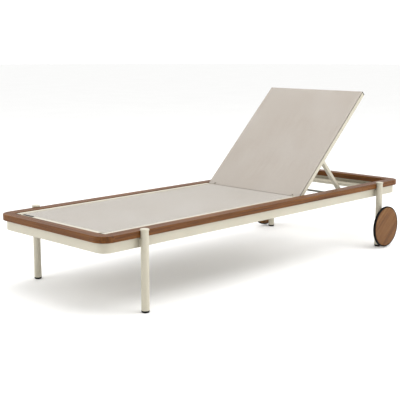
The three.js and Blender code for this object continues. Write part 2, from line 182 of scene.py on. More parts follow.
def noise(material, where, scale, detail=2.0, roughness=0.5, distortion=0.0):
    """Soft random mottling."""
    return wire(material, "TexNoise", {0: where, "Scale": scale, "Detail": detail, "Roughness": roughness,
                                       "Distortion": distortion})


def shades(material, value, stops):
    """Colours laid out along a value from 0 to 1."""
    output = wire(material, "ValToRGB", {0: value})
    elements = output.node.color_ramp.elements
    while len(elements) < len(stops):
        elements.new(0.5)
    for element, (position, colour) in zip(elements, stops):
        element.position = position
        element.color = tint(colour)
    return output


def between(material, value, low, high, start=0.0, stop=1.0):
    """The value from start..stop spread over low..high."""
    return wire(material, "MapRange", {0: value, 1: start, 2: stop, 3: low, 4: high})


def relief(material, height, depth, strength=1.0, over=None):
    """A bump of that depth in metres, on top of an earlier one."""
    inputs = {"Height": height, "Distance": depth, "Strength": strength}
    if over is not None:
        inputs["Normal"] = over
    return wire(material, "Bump", inputs)


def powder_coat(name, pale, full):
    """Satin powder coat: a fine orange peel, slow changes of gloss, and a faint cloudiness."""
    material = finish(name, IOR=1.5, Coat_Weight=0.3, Coat_Roughness=0.22)
    where = blank(material)
    cloud = noise(material, where, 7.0, detail=3.0)
    peel = noise(material, where, 620.0, detail=2.0)
    speck = noise(material, where, 2400.0, detail=1.0)
    feed(material,
         Base_Color=shades(material, cloud, [(0.3, full), (0.7, pale)]),
         Roughness=between(material, noise(material, where, 38.0), 0.36, 0.5, 0.3, 0.7),
         Normal=relief(material, speck, 0.00003, 0.4, relief(material, peel, 0.00012, 0.5)))
    return material


FRAME_WHITE = powder_coat("powder_coat_off_white", "bab4a2", "b3ad9b")
TUBE_CORNER = 0.0025
SIDES = (("left", -1), ("right", 1))
ENDS = (("foot", -1), ("head", 1))

beam_low, beam_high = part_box("beam_side_right")
beam_z = (beam_low.z, beam_high.z)
for side, hand in SIDES:
    section = rectangle(hand * beam_low.y, hand * beam_high.y, *beam_z)
    piece(f"frame_tube_{side}", lengthwise(rounded(section, TUBE_CORNER), beam_low.x, beam_high.x),
          FRAME_WHITE, nodes=[f"beam_side_{side}"])

beam_width = beam_high.y - beam_low.y
beam_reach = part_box("beam_end_head")[1].x
BEAM_BEND = 0.043
for end, toward in ENDS:
    section = rounded(rectangle(-beam_width, 0, *beam_z), TUBE_CORNER)
    bend = bent_end(section, toward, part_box("beam_end_head")[0].x, beam_reach, beam_high.y, BEAM_BEND)
    piece(f"frame_bend_{end}", bend, FRAME_WHITE, nodes=[f"beam_end_{end}"])


# Cross members and head ledge. Square tube let in between the side tubes at the foot, the middle and the
# hinge, and a flat tube across the head end; each square tube is welded to the frame with a small bead all
# round.

def crosswise(section, y0, y1):
    """An (x, z) section run across from y0 to y1."""
    return swept(section, [(Vector((0, y0, 0)), Vector((1, 0, 0))), (Vector((0, y1, 0)), Vector((1, 0, 0)))])


WELD_RADIUS = 0.0022
WELD_RIPPLE = 0.14
WELD_SINK = 0.0018


def weld_bead(bm, section, y, sides=6):
    """A thin rippled ring of weld round a section where it meets a face at y."""
    middle = Vector((sum(u for u, _ in section), sum(v for _, v in section))) / len(section)
    rings = []
    for i, (u, v) in enumerate(section):
        out = (Vector((u, v)) - middle).normalized()
        swell = WELD_RADIUS * (1.0 + WELD_RIPPLE * math.sin(i * 2.4))
        ring = []
        for k in range(sides):
            a = 2 * math.pi * k / sides
            ring.append(bm.verts.new((u + out.x * swell * math.cos(a), y + swell * math.sin(a),
                                      v + out.y * swell * math.cos(a))))
        rings.append(ring)
    skin(bm, rings + rings[:1], ends=False)


for node in ("cross_member_foot", "cross_member_middle", "cross_member_hinge", "head_ledge"):
    low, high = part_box(node)
    section = rounded(rectangle(low.x, high.x, low.z, high.z), TUBE_CORNER)
    piece(node.replace("member", "tube") + "_coated", crosswise(section, low.y, high.y),
          FRAME_WHITE, nodes=[node])
    if node != "head_ledge":
        beads = bmesh.new()
        for hand in (-1, 1):
            weld_bead(beads, section, hand * (high.y - WELD_SINK))
        piece(node.replace("member", "tube") + "_welds", beads, FRAME_WHITE)


# Buffers. Two rubber studs on the head ledge, each pushed through a drilled hole, for the backrest's side
# tubes to land on when it lies flat.

def turned(profile, at, axis="z", sides=40, closed=False):
    """A lathe profile of (radius, height), turned about the z or y axis through a point."""
    bm = bmesh.new()
    rings = []
    for radius, height in profile:
        ring = []
        for k in range(sides if radius > 1e-6 else 1):
            a = 2 * math.pi * k / sides
            u = radius * math.cos(a)
            v = radius * math.sin(a)
            ring.append(bm.verts.new((at[0] + u, at[1] + v, height) if axis == "z"
                                     else (at[0] + u, height, at[1] + v)))
        rings.append(ring)
    skin(bm, rings + rings[:1] if closed else rings, ends=False)
    return bm


def black_rubber():
    """Moulded black rubber: matt, slightly dusty, with a fine grain."""
    material = finish("black_rubber", IOR=1.45, Specular_IOR_Level=0.12)
    where = blank(material)
    dust = noise(material, where, 60.0, detail=4.0)
    feed(material,
         Base_Color=shades(material, dust, [(0.35, "0b0a09"), (0.75, "171513")]),
         Roughness=between(material, dust, 0.55, 0.8),
         Normal=relief(material, noise(material, where, 1500.0), 0.00006, 0.5))
    return material


RUBBER = black_rubber()
STUD_DOME = 0.003
for side, hand in SIDES:
    low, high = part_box(f"ledge_buffer_{side}")
    centre = ((low.x + high.x) / 2, (low.y + high.y) / 2)
    radius = (high.x - low.x) / 2
    dome = rounded([(0, low.z), (radius, low.z), (radius, high.z - STUD_DOME), (radius * 0.55, high.z),
                    (0, high.z)], STUD_DOME, closed=False)
    piece(f"ledge_stud_{side}", turned(dome, centre), RUBBER, nodes=[f"ledge_buffer_{side}"])


# Timber rail. Oiled hardwood boards laid flat on the frame tubes: two long sides, notched round the legs,
# and two ends with rounded corners. The arrises are eased by hand, and screws come up through the frame.

def glazed(material, base, over, strength=1.0):
    """A colour seen through a thin coloured film."""
    return wire(material, "MixRGB", {0: strength, 1: base, 2: over}, blend_type="MULTIPLY")


def hardwood(name, turn=(0, 0, 0), shift=(0, 0, 0), dark="442507", mid="663c0e", pale="82531b"):
    """Oiled hardwood: long straight figure, short dark pores and a slow change of colour along the board."""
    material = finish(name, IOR=1.42, Specular_IOR_Level=0.3)
    bands = noise(material, blank(material, (0.9, 30.0, 30.0), turn, shift), 2.2, 5.0, 0.62, 0.9)
    streak = noise(material, blank(material, (2.2, 190.0, 190.0), turn, shift), 2.0, 3.0, 0.6, 0.25)
    pores = noise(material, blank(material, (26.0, 900.0, 900.0), turn, shift), 1.6, 2.0, 0.55)
    tone = noise(material, blank(material, (1.0, 3.0, 3.0), turn, shift), 2.4, 2.0)
    figure = wire(material, "Math", {0: streak, 1: 0.42, 2: wire(
        material, "Math", {0: bands, 1: 0.58}, operation="MULTIPLY")}, operation="MULTIPLY_ADD")
    grain = shades(material, figure, [(0.34, dark), (0.5, mid), (0.67, pale)])
    pore_mask = between(material, pores, 1.0, 0.0, 0.34, 0.45)
    pored = glazed(material, grain, tint(dark), between(material, pore_mask, 0.0, 0.5))
    toned = glazed(material, pored, shades(material, tone, [(0.3, "e6ded8"), (0.7, "ffffff")]))
    ridges = relief(material, figure, 0.00035, 0.5)
    feed(material, Base_Color=toned,
         Roughness=between(material, figure, 0.58, 0.42, 0.3, 0.7),
         Normal=relief(material, pore_mask, -0.00018, 0.6, ridges))
    return material


def board(outline, z0, z1, ease, steps=3):
    """A plan outline sawn from a board, its top and bottom arrises eased."""
    bm = bmesh.new()
    rings = [[bm.verts.new((x, y, z)) for x, y in outline] for z in (z0, z1)]
    skin(bm, rings)
    far = max(abs(x) for x, _ in outline) - 1e-5
    arrises = [e for e in bm.edges if abs(e.verts[0].co.z - e.verts[1].co.z) < 1e-6
               and not all(abs(v.co.x) > far for v in e.verts)]
    bmesh.ops.bevel(bm, geom=arrises, offset=ease, segments=steps, profile=0.5, affect="EDGES",
                    clamp_overlap=True)
    return bm


ARRIS = 0.0028
NOTCH_CLEARANCE = 0.0004
leg_low, leg_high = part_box("leg_head_right")
CAP_RADIUS = (leg_high.x - leg_low.x) / 2
LEG_RADIUS = 0.016
leg_y = leg_high.y - CAP_RADIUS
leg_x = {end: (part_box(f"leg_{end}_right")[0].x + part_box(f"leg_{end}_right")[1].x) / 2 for end, _ in ENDS}

rail_low, rail_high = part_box("rail_side_right")
notch = LEG_RADIUS + NOTCH_CLEARANCE
mouth = math.asin((leg_y - rail_high.y) / notch)
outline = [(rail_low.x, rail_low.y), (rail_high.x, rail_low.y), (rail_high.x, rail_high.y)]
for x in (leg_x["head"], leg_x["foot"]):
    for k in range(21):
        angle = -mouth - (math.pi - 2 * mouth) * k / 20
        outline.append((x + notch * math.cos(angle), leg_y + notch * math.sin(angle)))
outline.append((rail_low.x, rail_high.y))
for side, hand in SIDES:
    wood = hardwood(f"hardwood_rail_{side}", shift=(1.7 * hand, 0.3, 0.9))
    piece(f"timber_side_{side}", board([(x, hand * y) for x, y in outline], rail_low.z, rail_high.z, ARRIS),
          wood, nodes=[f"rail_side_{side}"])

RAIL_BEND = 0.058
rail_width = rail_high.y - rail_low.y
for end, toward in ENDS:
    wood = hardwood(f"hardwood_rail_{end}", turn=(0, 0, math.pi / 2), shift=(0.6, 2.1 * toward, 0.4))
    section = rounded(rectangle(-rail_width, 0, rail_low.z, rail_high.z), ARRIS, steps=5)
    bend = bent_end(section, toward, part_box("rail_end_head")[0].x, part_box("rail_end_head")[1].x,
                    rail_high.y, RAIL_BEND, steps=18)
    piece(f"timber_end_{end}", bend, wood, nodes=[f"rail_end_{end}"])


# Rail screws. Stainless pan heads with a small recess, driven up through the frame tubes at every 300 mm.
# They hold the boards down from below.

def brushed_steel():
    """Stainless steel with a fine brushed grain and a few dull patches."""
    material = finish("brushed_steel", Metallic=1.0, Anisotropic=0.3)
    brushed = noise(material, blank(material, (40.0, 40.0, 2400.0)), 1.0, 3.0)
    dull = noise(material, blank(material), 45.0, 3.0)
    feed(material,
         Base_Color=shades(material, dull, [(0.3, "9c9b98"), (0.7, "c2c1be")]),
         Roughness=between(material, dull, 0.26, 0.42),
         Normal=relief(material, brushed, 0.00002, 0.4))
    return material


def merge(target, part):
    """Adds one mesh to another."""
    carried = bpy.data.meshes.new("carried")
    part.to_mesh(carried)
    part.free()
    target.from_mesh(carried)
    bpy.data.meshes.remove(carried)


STEEL = brushed_steel()
RAIL_SCREW = ((0.0042, -0.0005), (0.0042, 0.0006), (0.00315, 0.0018), (0.0016, 0.0022), (0.0014, 0.0009))
SCREW_SPACING = 0.3
SCREWS_A_SIDE = 7


def screw_head(outline, face):
    """A head below or inside a face, from rows of (radius, how far it stands out), closed to its axis."""
    rows = [(radius, face - out) for radius, out in outline]
    return [(0, rows[0][1]), *rows, (0, rows[-1][1])]


screws = bmesh.new()
beam_middle_y = (beam_low.y + beam_high.y) / 2
for hand in (-1, 1):
    for k in range(SCREWS_A_SIDE):
        x = SCREW_SPACING * (k - (SCREWS_A_SIDE - 1) / 2)
        merge(screws, turned(screw_head(RAIL_SCREW, beam_low.z), (x, hand * beam_middle_y), sides=20))
piece("rail_screws", screws, STEEL)


# Legs. Round aluminium tube with a domed cap welded in the top, standing outside the frame in the rail's
# notch. A saddle block and two button screws through the frame tube hold each one.

CAP_SEAT_Z = 0.3224
CAP_SPIGOT = 0.0028
CAP_LIFT = 0.0002
CAP_EDGE = 0.0007
CAP_WALL = 0.0042
CAP_ROUND = (0.0075, 0.0032)
LEG_BORE = 0.0135
BORE_FIT = 0.0003
LEG_BREAK = 0.0007
SADDLE_HALF = 0.011
SADDLE_INSET = 0.006
SADDLE_BREAK = 0.0012
SADDLE_FIT = (0.0003, 0.0001)
LEG_BUTTON = ((0.0018, 0.0012), (0.0022, 0.0034), (0.0036, 0.0028), (0.0052, 0.001), (0.0054, -0.0004))
BUTTON_RISE = (0.021, 0.034)


def leg_cap():
    """A spigot in the bore, a short straight wall, and an elliptical shoulder up to the flat top."""
    seat = CAP_SEAT_Z + CAP_LIFT
    spigot = LEG_BORE - BORE_FIT
    profile = [(0, CAP_SEAT_Z - CAP_SPIGOT), (spigot, CAP_SEAT_Z - CAP_SPIGOT), (spigot, seat),
               (CAP_RADIUS - 0.0006, seat), (CAP_RADIUS, seat + CAP_EDGE),
               (CAP_RADIUS, CAP_SEAT_Z + CAP_WALL)]
    for k in range(1, 9):
        angle = math.pi / 2 * k / 8
        profile.append((CAP_RADIUS - CAP_ROUND[0] * (1 - math.cos(angle)),
                        CAP_SEAT_Z + CAP_WALL + CAP_ROUND[1] * math.sin(angle)))
    return profile + [(0, leg_high.z)]


def leg_saddle(x, hand):
    """Plan of the block: flat on the frame tube, hollowed to the leg."""
    cheek = LEG_RADIUS - SADDLE_FIT[1]
    spread = math.asin(SADDLE_HALF / cheek)
    back = beam_high.y + SADDLE_FIT[0]
    plan = [(x - SADDLE_HALF, hand * back), (x + SADDLE_HALF, hand * back)]
    for k in range(9):
        angle = spread - 2 * spread * k / 8
        plan.append((x + cheek * math.sin(angle), hand * (leg_y - cheek * math.cos(angle))))
    return board(plan, beam_low.z + SADDLE_INSET, beam_high.z - SADDLE_INSET, SADDLE_BREAK, steps=2)


def handed(profile, hand):
    """The profile for the right side, or its mirror image for the left."""
    return [(radius, hand * height) for radius, height in profile]


for end, _ in ENDS:
    for side, hand in SIDES:
        x = leg_x[end]
        place = (x, hand * leg_y)
        tube = rounded([(LEG_BORE, leg_low.z), (LEG_RADIUS, leg_low.z), (LEG_RADIUS, CAP_SEAT_Z),
                        (LEG_BORE, CAP_SEAT_Z)], LEG_BREAK, steps=2)
        piece(f"leg_tube_{end}_{side}", turned(tube, place, sides=56, closed=True), FRAME_WHITE,
              nodes=[f"leg_{end}_{side}"])
        piece(f"leg_cap_{end}_{side}", turned(leg_cap(), place, sides=56), FRAME_WHITE)
        piece(f"leg_saddle_{end}_{side}", leg_saddle(x, hand), FRAME_WHITE)
        buttons = bmesh.new()
        for height in BUTTON_RISE:
            button = handed(screw_head(LEG_BUTTON, beam_low.y), hand)
            merge(buttons, turned(button, (x, beam_low.z + height), "y", 24))
        piece(f"leg_screws_{end}_{side}", buttons, STEEL)


# Glides. Moulded black rubber plugs pushed up into the legs by their stems; the flat foot turns up into a
# rounded rim as wide as the leg.

GLIDE_FOOT = 0.013
GLIDE_RIM = (0.0158, 0.0164)
GLIDE_RISE = (0.0018, 0.005, 0.0077)
GLIDE_STEM = (0.0132, 0.024)
glide = rounded([(0, 0), (GLIDE_FOOT, 0), (GLIDE_RIM[0], GLIDE_RISE[0]), (GLIDE_RIM[1], GLIDE_RISE[1]),
                 (GLIDE_RIM[1], GLIDE_RISE[2]), (GLIDE_STEM[0], GLIDE_RISE[2]), GLIDE_STEM,
                 (0, GLIDE_STEM[1])], 0.0015, steps=3, closed=False)
for end, _ in ENDS:
    for side, hand in SIDES:
        piece(f"leg_glide_{end}_{side}", turned(glide, (leg_x[end], hand * leg_y), sides=56), RUBBER,
              nodes=[f"glide_{end}_{side}"])


# Wheels. Hardwood discs turned from glued-up board, with an eased rim and a shallow chamfer, inside thin
# black rubber tyres. Each is screwed to a flanged hub that runs on a bolt through the head-end leg.

def pivot_of(joint):
    """The point that a joint turns about."""
    return Vector(next(row["pos_m"] for row in frame["joints"] if row["name"] == joint))


disc_low, disc_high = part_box("wheel_disc_right")
DISC_RADIUS = (disc_high.x - disc_low.x) / 2
DISC_BORE = 0.012
tyre_low, tyre_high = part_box("wheel_tyre_right")
TYRE_RADIUS = (tyre_high.x - tyre_low.x) / 2


def moulded_plastic(name, dark, pale):
    """Moulded plastic with a fine spark-eroded grain."""
    material = finish(name, IOR=1.5, Specular_IOR_Level=0.15)
    where = blank(material)
    mottle = noise(material, where, 90.0, 3.0)
    feed(material,
         Base_Color=shades(material, mottle, [(0.3, dark), (0.7, pale)]),
         Roughness=between(material, mottle, 0.48, 0.62),
         Normal=relief(material, noise(material, where, 1900.0), 0.00005, 0.5))
    return material


DARK_PLASTIC = moulded_plastic("dark_grey_plastic", "1b1a18", "282624")
DISC_RECESS = 0.0064
INNER_RIM = ((0.0018, 0.0), (0.0006, 0.0006), (0.0, 0.0018))
OUTER_RIM = ((0.0, 0.0022), (0.0005, 0.0009), (0.0022, 0.0001), (0.0042, 0.0), (0.03, 0.0))
TYRE_FIT = 0.0003
TYRE_ROUND = 0.002
HUB_BORE = 0.0064
HUB_NECK = 0.014
HUB_FLANGE = 0.030
HUB_SPIGOT = (0.0117, 0.0061)
FLANGE_DEPTH = 0.005
HUB_ROUND = 0.0011
WHEEL_SCREW = ((0.0034, -0.0002), (0.0034, 0.0006), (0.0026, 0.0018), (0.001, 0.0022), (0.0009, 0.001))
SCREW_CIRCLE = 0.022
inner = disc_low.y
outer = disc_high.y

disc = [(0, inner + DISC_RECESS), (DISC_BORE, inner + DISC_RECESS), (DISC_BORE, inner)]
disc += [(DISC_RADIUS - cut, inner + depth) for cut, depth in INNER_RIM]
disc += [(DISC_RADIUS - cut, outer - depth) for cut, depth in OUTER_RIM]
disc += [(DISC_RADIUS * 0.3, outer), (0, outer)]
tyre_in = DISC_RADIUS + TYRE_FIT
tyre = rounded([(tyre_in, tyre_low.y), (TYRE_RADIUS, tyre_low.y), (TYRE_RADIUS, tyre_high.y),
                (tyre_in, tyre_high.y)], TYRE_ROUND, steps=4)
hub_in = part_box("wheel_hub_right")[0].y
flange_in = inner - FLANGE_DEPTH
flange_out = inner - TYRE_FIT
hub = rounded([(HUB_BORE, hub_in), (HUB_NECK, hub_in), (HUB_NECK, flange_in), (HUB_FLANGE, flange_in),
               (HUB_FLANGE, flange_out), (HUB_SPIGOT[0], flange_out), (HUB_SPIGOT[0], inner + HUB_SPIGOT[1]),
               (HUB_BORE, inner + HUB_SPIGOT[1])], HUB_ROUND, steps=3)
pan = screw_head(WHEEL_SCREW, flange_in)


for side, hand in SIDES:
    axle = pivot_of(f"wheel_{side}_axle")
    at = (axle.x, axle.z)
    body = f"wheel_{side}"
    wood = hardwood(f"hardwood_wheel_{side}", turn=(0, math.radians(38), 0), shift=(0.4 * hand, 1.3, 0.2),
                    dark="543210", mid="70481b", pale="885f2a")
    piece(f"wheel_wood_{side}", turned(handed(disc, hand), at, "y", 96), wood,
          body, [f"wheel_disc_{side}"])
    piece(f"wheel_rubber_{side}", turned(handed(tyre, hand), at, "y", 96, closed=True), RUBBER,
          body, [f"wheel_tyre_{side}"])
    piece(f"wheel_boss_{side}", turned(handed(hub, hand), at, "y", 48, closed=True),
          DARK_PLASTIC, body, [f"wheel_hub_{side}"])
    heads = bmesh.new()
    for k in range(4):
        angle = math.pi / 4 + math.pi / 2 * k
        spot = (at[0] + SCREW_CIRCLE * math.cos(angle), at[1] + SCREW_CIRCLE * math.sin(angle))
        merge(heads, turned(handed(pan, hand), spot, "y", 20))
    piece(f"wheel_screws_{side}", heads, STEEL, body)


# Axle bolts. Stainless hexagon-head bolts through the head-end legs, with a plain shank for the hub to run on
# and a washer under the head.

HEX_RADIUS = 0.008
HEX_CHAMFER = (0.0009, 0.86)
HEAD_DEPTH = 0.0057
WASHER = (0.0061, 0.0079, 0.0011)
SHANK_RADIUS = 0.006
SHANK_CHAMFER = 0.0008
bolt_low, bolt_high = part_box("axle_bolt_right")
head_face = bolt_low.y
head_seat = head_face + HEAD_DEPTH
washer_face = head_seat - WASHER[2]
washer = rounded([(WASHER[0], washer_face), (WASHER[1], washer_face), (WASHER[1], head_seat),
                  (WASHER[0], head_seat)], 0.0004, 2)
shank = [(0, head_seat - 0.002), (SHANK_RADIUS, head_seat - 0.002),
         (SHANK_RADIUS, bolt_high.y - SHANK_CHAMFER), (SHANK_RADIUS - SHANK_CHAMFER, bolt_high.y),
         (0, bolt_high.y)]


def hexagon_head(at, hand):
    """Six flats, chamfered towards the outer face."""
    bm = bmesh.new()
    rings = []
    for height, size in ((head_seat - 0.0012, 1.0), (head_face + HEX_CHAMFER[0], 1.0),
                         (head_face, HEX_CHAMFER[1])):
        ring = []
        for k in range(6):
            angle = math.pi / 3 * k
            ring.append(bm.verts.new((at[0] + size * HEX_RADIUS * math.cos(angle), hand * height,
                                      at[1] + size * HEX_RADIUS * math.sin(angle))))
        rings.append(ring)
    skin(bm, rings)
    return bm


for side, hand in SIDES:
    axle = pivot_of(f"wheel_{side}_axle")
    at = (axle.x, axle.z)
    bolt = hexagon_head(at, hand)
    merge(bolt, turned(handed(washer, hand), at, "y", 40, closed=True))
    merge(bolt, turned(handed(shank, hand), at, "y", 32))
    piece(f"axle_steel_{side}", bolt, STEEL, nodes=[f"axle_bolt_{side}"])


# Seat frame. Extruded tube with a raised lip outside and a lower shelf inside that carries the sling; a plain
# tube closes it by the hinge. Dark plugs fill the ends of the side tubes, and a small blank plate is riveted
# to the foot tube.

SHELF_DROP = 0.0038
SEAT_LIP = 0.020
LIP_CORNER = 0.0016
PLUG_CORNER = 0.002
seat_low, seat_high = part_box("seat_tube_right")


def lipped(u_in, u_out, v0, v1, lip):
    """The extrusion's section: a lip at its outer side, and the shelf that is lower by SHELF_DROP."""
    step = math.copysign(lip, u_out - u_in)
    corners = [(u_in, v0), (u_out, v0), (u_out, v1), (u_out - step, v1), (u_out - step, v1 - SHELF_DROP),
               (u_in, v1 - SHELF_DROP)]
    return rounded(corners, LIP_CORNER, steps=3)


for side, hand in SIDES:
    section = lipped(hand * seat_low.y, hand * seat_high.y, seat_low.z, seat_high.z, SEAT_LIP)
    piece(f"seat_side_{side}", lengthwise(section, seat_low.x, seat_high.x), FRAME_WHITE,
          nodes=[f"seat_tube_{side}"])
    low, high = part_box(f"seat_end_cap_{side}")
    plug = rounded(rectangle(low.y, high.y, low.z, high.z), PLUG_CORNER, steps=3)
    piece(f"seat_plug_{side}", lengthwise(plug, low.x, high.x), DARK_PLASTIC,
          nodes=[f"seat_end_cap_{side}"])

foot_low, foot_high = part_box("seat_tube_foot")
section = lipped(foot_high.x, foot_low.x, foot_low.z, foot_high.z, SEAT_LIP)
piece("seat_foot_coated", crosswise(section, foot_low.y, foot_high.y), FRAME_WHITE,
      nodes=["seat_tube_foot"])
low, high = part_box("seat_tube_head")
section = rounded(rectangle(low.x, high.x, low.z, high.z), TUBE_CORNER)
piece("seat_head_coated", crosswise(section, low.y, high.y), FRAME_WHITE,
      nodes=["seat_tube_head"])

PLATE_CORNER = 0.0015
PLATE_BREAK = 0.0003
RIVET_INSET = 0.005
low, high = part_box("blank_plate")
plate_top = high.z - 0.0003
plate_outline = rounded(rectangle(low.x, high.x, low.y, high.y), PLATE_CORNER, steps=3)
plate = board(plate_outline, low.z, plate_top, PLATE_BREAK, 1)
rivet = [(0, high.z - 0.0006), (0.0017, high.z - 0.0006), (0.0014, high.z - 0.0001), (0, high.z)]
for y in (low.y + RIVET_INSET, high.y - RIVET_INSET):
    merge(plate, turned(rivet, ((low.x + high.x) / 2, y), sides=16))
piece("plate_blank_riveted", plate, DARK_PLASTIC, nodes=["blank_plate"])


# Seat sling. One panel of woven, plastic-coated mesh with a cord welded in each long edge, slid into the seat
# tubes' grooves and stretched. It is hemmed at the foot and turned down round the hinge tube.

YARN_PITCH = 0.0021
CLOTH_T = 0.0012
EDGE_TURN = 0.005
EDGE_DROP = 0.0009
SAG_RUN = 0.16
SAG_MARGIN = 0.002
SEAT_SET_DOWN = 0.0007
SEAT_BEND = 0.004
FOOT_TURN = 0.0026
HINGE_TURN_Z = 0.300
WRAP_HALF = 0.243
WRAP_LENGTH = 0.022
WRAP_NARROWING = 0.008
SEAT_SAG = 0.004
FOOT_HEM_ROWS = (0.010, 0.016)
SEAT_EDGE_ROWS = (0.0085, 0.0125)
SEAT_ROW_ENDS = (0.018, 0.012)
STITCH_INSET = 0.006


def woven_mesh(name, gap, shade, light):
    """Plain weave of round coated yarns, with the faint lengthwise streaks of the loom; the yarns are painted
    darker where they dip, and darkest in the gaps between them, as painted shade.
    """
    material = finish(name, IOR=1.45, Sheen_Weight=0.12, Sheen_Roughness=0.5)
    cloth = wire(material, "UVMap", {}, uv_map="cloth")
    count = math.pi / YARN_PITCH
    threads = wire(material, "Mapping", {0: cloth, 3: (count, count, 1.0)})
    split = wire(material, "SeparateXYZ", {0: threads}).node
    rows = []
    for axis in (0, 1):
        wave = wire(material, "Math", {0: split.outputs[axis]}, operation="SINE")
        rows.append(wire(material, "Math", {0: wave}, operation="ABSOLUTE"))
    heights = []
    for over, under in (rows, rows[::-1]):
        dip = wire(material, "Math", {0: under, 1: 0.45, 2: 0.55}, operation="MULTIPLY_ADD")
        heights.append(wire(material, "Math", {0: over, 1: dip}, operation="MULTIPLY"))
    parity = wire(material, "TexChecker", {0: threads, "Scale": 1 / math.pi}).node.outputs["Fac"]
    height = wire(material, "Mix", {0: parity, 2: heights[0], 3: heights[1]})
    streak = noise(material, wire(material, "Mapping", {0: cloth, 3: (3.0, 260.0, 1.0)}), 1.0, 3.0)
    cloud = noise(material, wire(material, "Mapping", {0: cloth, 3: (5.0, 5.0, 1.0)}), 1.0, 2.0)
    # painted shade: the yarn colour darkens where each yarn dips under the crossing one, down to the gap
    # colour in the holes
    yarn = shades(material, height, [(0.0, gap), (0.3, shade), (0.8, light)])
    streaked = glazed(material, yarn, shades(material, streak, [(0.25, "f1efec"), (0.75, "ffffff")]))
    clouded = glazed(material, streaked, shades(material, cloud, [(0.3, "f8f6f3"), (0.7, "ffffff")]))
    feed(material, Base_Color=clouded,
         Roughness=between(material, height, 0.72, 0.55),
         Normal=relief(material, height, 0.0004, 0.7))
    return material


def rise(t):
    """A smooth step from 0 to 1."""
    t = min(1.0, max(0.0, t))
    return t * t * (3 - 2 * t)


def along(path, spacing):
    """Points and directions at an even spacing along an (x, z) path, with the distance from its start."""
    lengths = [0.0]
    for a, b in zip(path, path[1:]):
        lengths.append(lengths[-1] + (Vector(b) - Vector(a)).length)
    total = lengths[-1]
    count = max(2, round(total / spacing))
    stations = []
    for i in range(count + 1):
        d = total * i / count
        k = min(len(path) - 2, max(j for j, s in enumerate(lengths) if s <= d + 1e-9))
        span = lengths[k + 1] - lengths[k]
        a = Vector(path[k])
        b = Vector(path[k + 1])
        stations.append((a.lerp(b, (d - lengths[k]) / span), (b - a).normalized(), d))
    return stations


def cloth_panel(bm, rows):
    """A closed sheet of cloth from rows of (top point, underside point, place in the weave)."""
    layer = bm.loops.layers.uv.get("cloth") or bm.loops.layers.uv.new("cloth")
    places = {}
    top = []
    under = []
    for row in rows:
        for sheet, side in ((top, 0), (under, 1)):
            sheet.append([bm.verts.new(spot[side]) for spot in row])
            places.update(zip(sheet[-1], [spot[2] for spot in row]))
    quads = []
    last = len(rows[0]) - 1
    for i in range(len(rows) - 1):
        for j in range(last):
            quads.append((top[i][j], top[i + 1][j], top[i + 1][j + 1], top[i][j + 1]))
            quads.append((under[i][j], under[i][j + 1], under[i + 1][j + 1], under[i + 1][j]))
        for j in (0, last):
            quads.append((top[i][j], top[i + 1][j], under[i + 1][j], under[i][j]))
    for i in (0, len(rows) - 1):
        for j in range(last):
            quads.append((top[i][j], top[i][j + 1], under[i][j + 1], under[i][j]))
    for corners in quads:
        face = bm.faces.new(corners)
        for loop in face.loops:
            loop[layer].uv = places[loop.vert]


def stretched_sheet(path, half_at, sag_at, spacing=0.009, columns=34):
    """A sheet along a side-view path, with a sag and edges that turn down into the groove."""
    bm = bmesh.new()
    stations = along(path, spacing)
    rows = []
    for i, (point, direction, distance) in enumerate(stations):
        before = stations[max(0, i - 1)][1]
        tangent = (direction + before).normalized()
        normal = Vector((-tangent.y, tangent.x))
        row = []
        for j in range(-columns, columns + 1):
            share = j / columns
            spread = math.copysign(1 - (1 - abs(share)) ** 1.25, share)
            y = half_at(distance) * spread
            rim = rise((abs(y) - half_at(distance) + EDGE_TURN) / EDGE_TURN)
            down = sag_at(point.x, y) + EDGE_DROP * rim
            spots = [(point.x - normal.x * d, y, point.y - normal.y * d) for d in (down, down + CLOTH_T)]
            row.append((*spots, (distance, y)))
        rows.append(row)
    cloth_panel(bm, rows)
    return bm


def stitch_row(bm, start, end, up=(0, 0, 1), gap=0.0062, length=0.0042, radius=0.00042):
    """Lockstitches in a line; each is a short thread that dips at both ends."""
    start = Vector(start)
    end = Vector(end)
    run = (end - start).normalized()
    up = Vector(up)
    side = run.cross(up)
    count = int((end - start).length / gap)
    for i in range(count):
        centre = start + run * gap * (i + 0.5)
        rings = []
        for t in (-1.0, -0.6, 0.0, 0.6, 1.0):
            middle = centre + run * (t * length / 2) + up * radius * (0.35 - 0.9 * t * t)
            if abs(t) == 1.0:
                rings.append([bm.verts.new(middle)])
                continue
            rings.append([bm.verts.new(middle + (side * math.cos(a) + up * math.sin(a)) * radius)
                          for a in [2 * math.pi * k / 6 for k in range(6)]])
        skin(bm, rings, ends=False)


def sewing_thread():
    """Twisted polyester thread."""
    material = finish("sewing_thread", Sheen_Weight=0.2)
    twist = noise(material, blank(material, (900.0, 900.0, 900.0)), 1.0, 2.0)
    feed(material,
         Base_Color=shades(material, twist, [(0.3, "b3aca1"), (0.7, "d0cac0")]),
         Roughness=between(material, twist, 0.6, 0.8))
    return material


SEAT_MESH = woven_mesh("woven_mesh_seat", "756f68", "9b9690", "b3aea7")
THREAD = sewing_thread()
sling_low, sling_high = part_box("seat_sling")
seat_top = sling_high.z - SEAT_SET_DOWN
seat_half = sling_high.y
seat_open = (foot_high.x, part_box("seat_tube_head")[0].x)
seat_path = rounded([(sling_low.x, seat_top - FOOT_TURN), (sling_low.x, seat_top - 0.0004),
                     (sling_low.x + SEAT_BEND, seat_top), (sling_high.x - 0.001, seat_top),
                     (sling_high.x - 0.0004, HINGE_TURN_Z)], SEAT_BEND, closed=False)
seat_length = along(seat_path, 0.01)[-1][2]


def seat_half_at(distance):
    """Half the width: from groove to groove, and narrower where it turns down between the hinge plates."""
    return seat_half - (seat_half - WRAP_HALF) * rise((distance - seat_length + WRAP_LENGTH) / WRAP_NARROWING)


